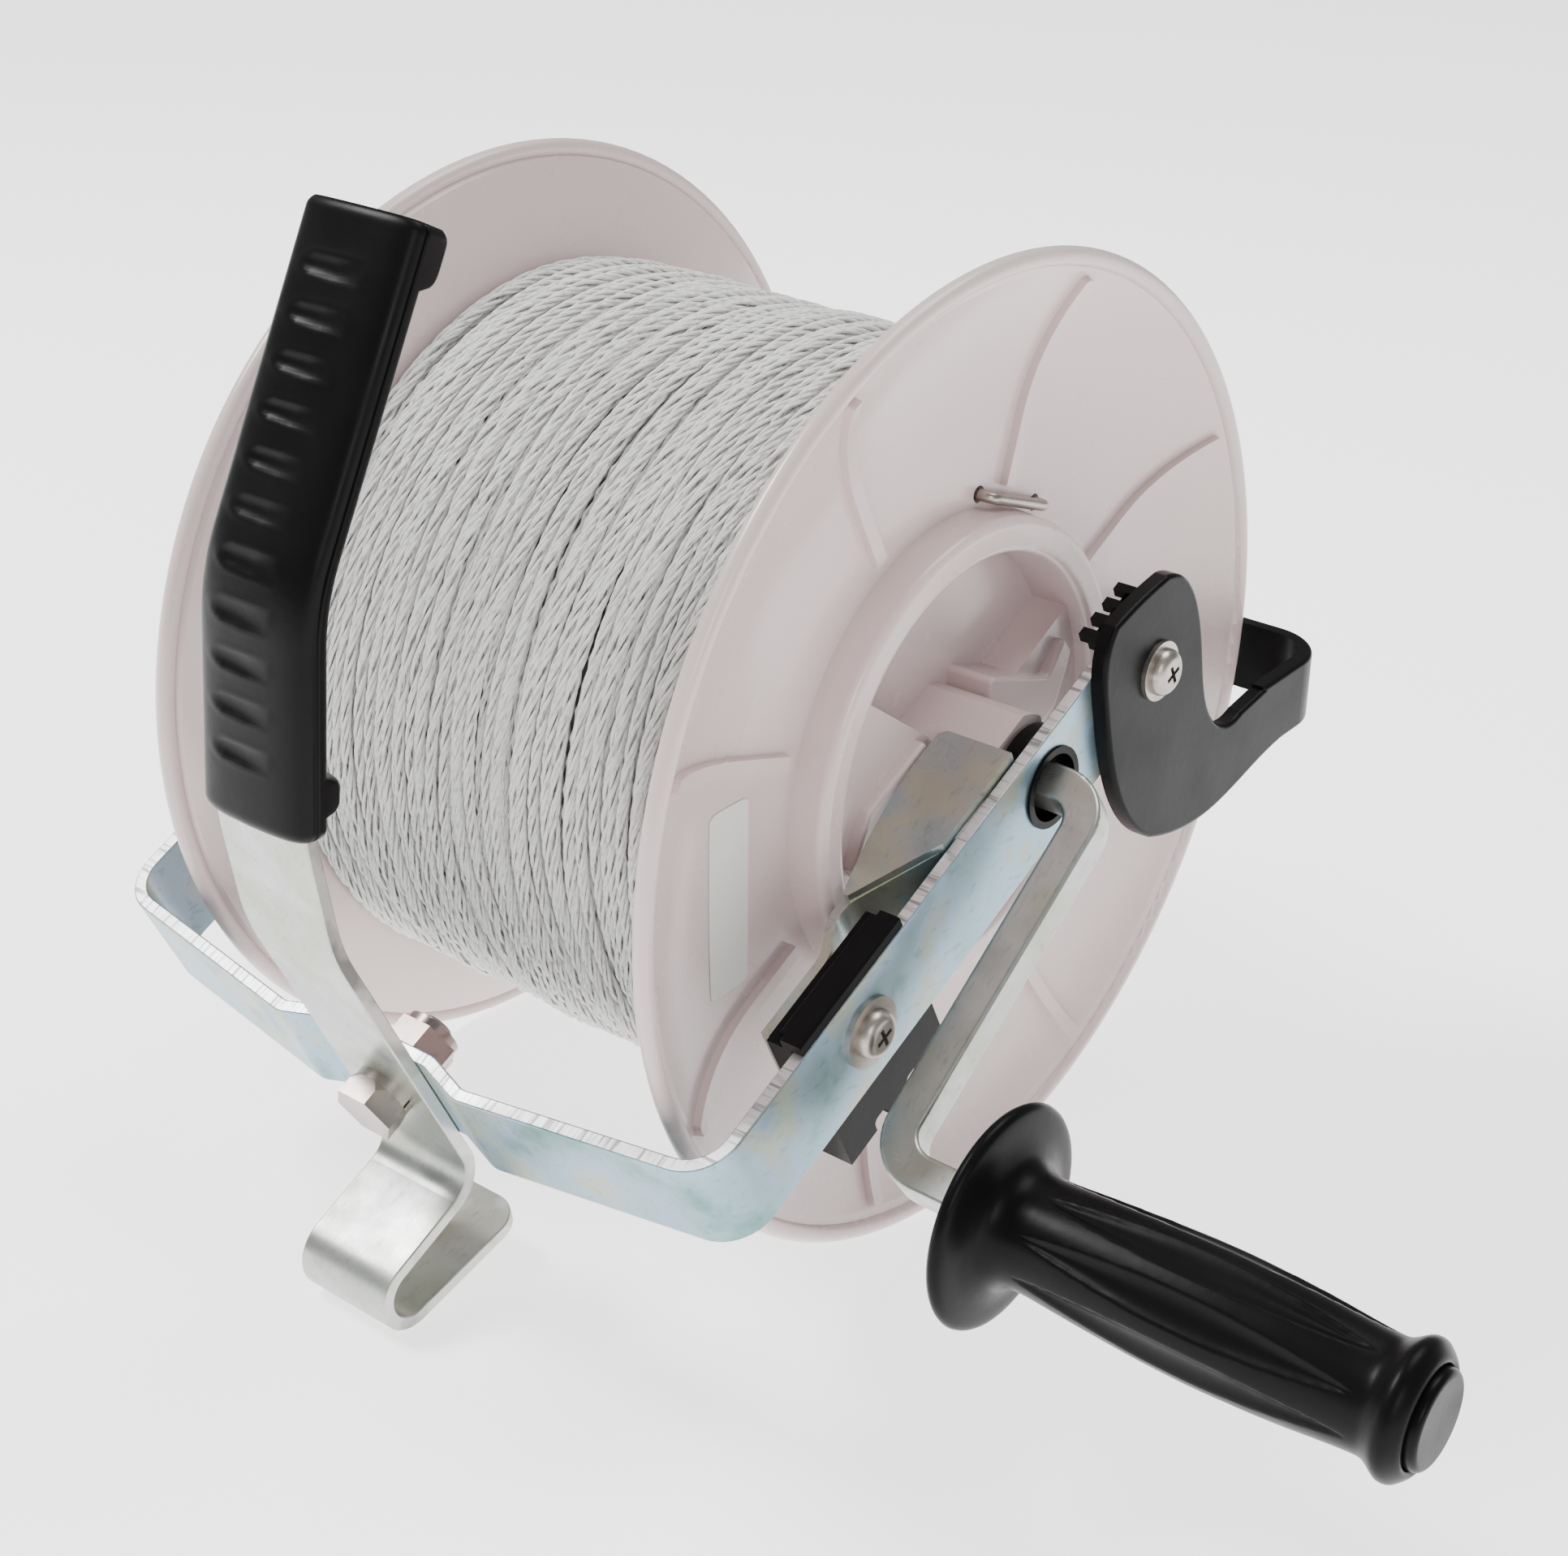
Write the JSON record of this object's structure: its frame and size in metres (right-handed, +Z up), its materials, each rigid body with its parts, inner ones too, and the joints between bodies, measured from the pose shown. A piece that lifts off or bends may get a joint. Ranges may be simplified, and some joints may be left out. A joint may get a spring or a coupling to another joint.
{
  "type": "electric fence wire reel",
  "caption": "Crank-wound wire reel: a dished plastic spool in a flat-bar steel yoke with a curved carrying handle, hanging hook, sliding lock and wire guide.",
  "frame": {"origin": "middle of the whole object's footprint box, on the ground it stands on", "axes": "+X along the spool's axle towards the crank grip, +Y from the handle side towards the wire guide, +Z up; the reel stands on its flange rims and hook"},
  "size_m": [0.3086, 0.2553, 0.231],
  "materials": {
    "zinc_steel": "blue zinc plate, satin, bright sheared edges",
    "strip_steel": "pale zinc plate, satin",
    "crank_steel": "zinc plate on drawn square bar",
    "plate_steel": "zinc plate, pressed",
    "nickel_steel": "slightly pink bright plate",
    "zinc_steel_dull": "dull zinc plate",
    "grey_plastic": "pale warm grey moulding, soft sheen",
    "black_plastic": "black moulding, semi-matte",
    "black_rubber": "black soft sleeve, matte",
    "blue_nylon": "pale nylon ring",
    "polywire": "off-white twisted plastic strands with fine steel strands"
  },
  "bodies": {
    "frame": {"yoke_frame": "zinc_steel", "handle_strip": "strip_steel", "handle_grip": "black_rubber", "yoke_bolt": "nickel_steel", "yoke_spring_washer": "zinc_steel_dull", "yoke_nut": "nickel_steel", "yoke_nut_ring": "blue_nylon", "near_bush": "black_plastic", "far_bush": "black_plastic", "wire_guide": "black_plastic", "guide_screw": "zinc_steel_dull", "guide_washer": "zinc_steel_dull", "guide_nut": "zinc_steel_dull", "lock_screw": "zinc_steel_dull", "lock_washer": "zinc_steel_dull", "lock_nut": "zinc_steel_dull"},
    "spool": {"near_flange": "grey_plastic", "far_flange": "grey_plastic", "spool_barrel": "grey_plastic", "wire_pack": "polywire", "wire_staple": "zinc_steel_dull", "crank": "crank_steel", "axle_washer": "zinc_steel_dull", "split_pin": "zinc_steel_dull", "grip_push_nut": "zinc_steel_dull"},
    "turning_grip": {"crank_grip": "black_plastic", "grip_cap": "black_plastic"},
    "lock": {"lock_slider": "black_plastic", "lock_plate": "plate_steel"}
  },
  "joints": [
    {"name": "spool_spin", "type": "hinge", "parent": "frame", "child": "spool", "pos_m": [-0.0593, 0.0128, 0.1075], "axis": [1, 0, 0], "continuous": true},
    {"name": "grip_spin", "type": "hinge", "parent": "spool", "child": "turning_grip", "pos_m": [0.1057, -0.05503, 0.05464], "axis": [1, 0, 0], "continuous": true},
    {"name": "lock_slide", "type": "slide", "parent": "frame", "child": "lock", "axis": [0, 0.8835, 0.4684], "range_m": [0, 0.01]}
  ]
}
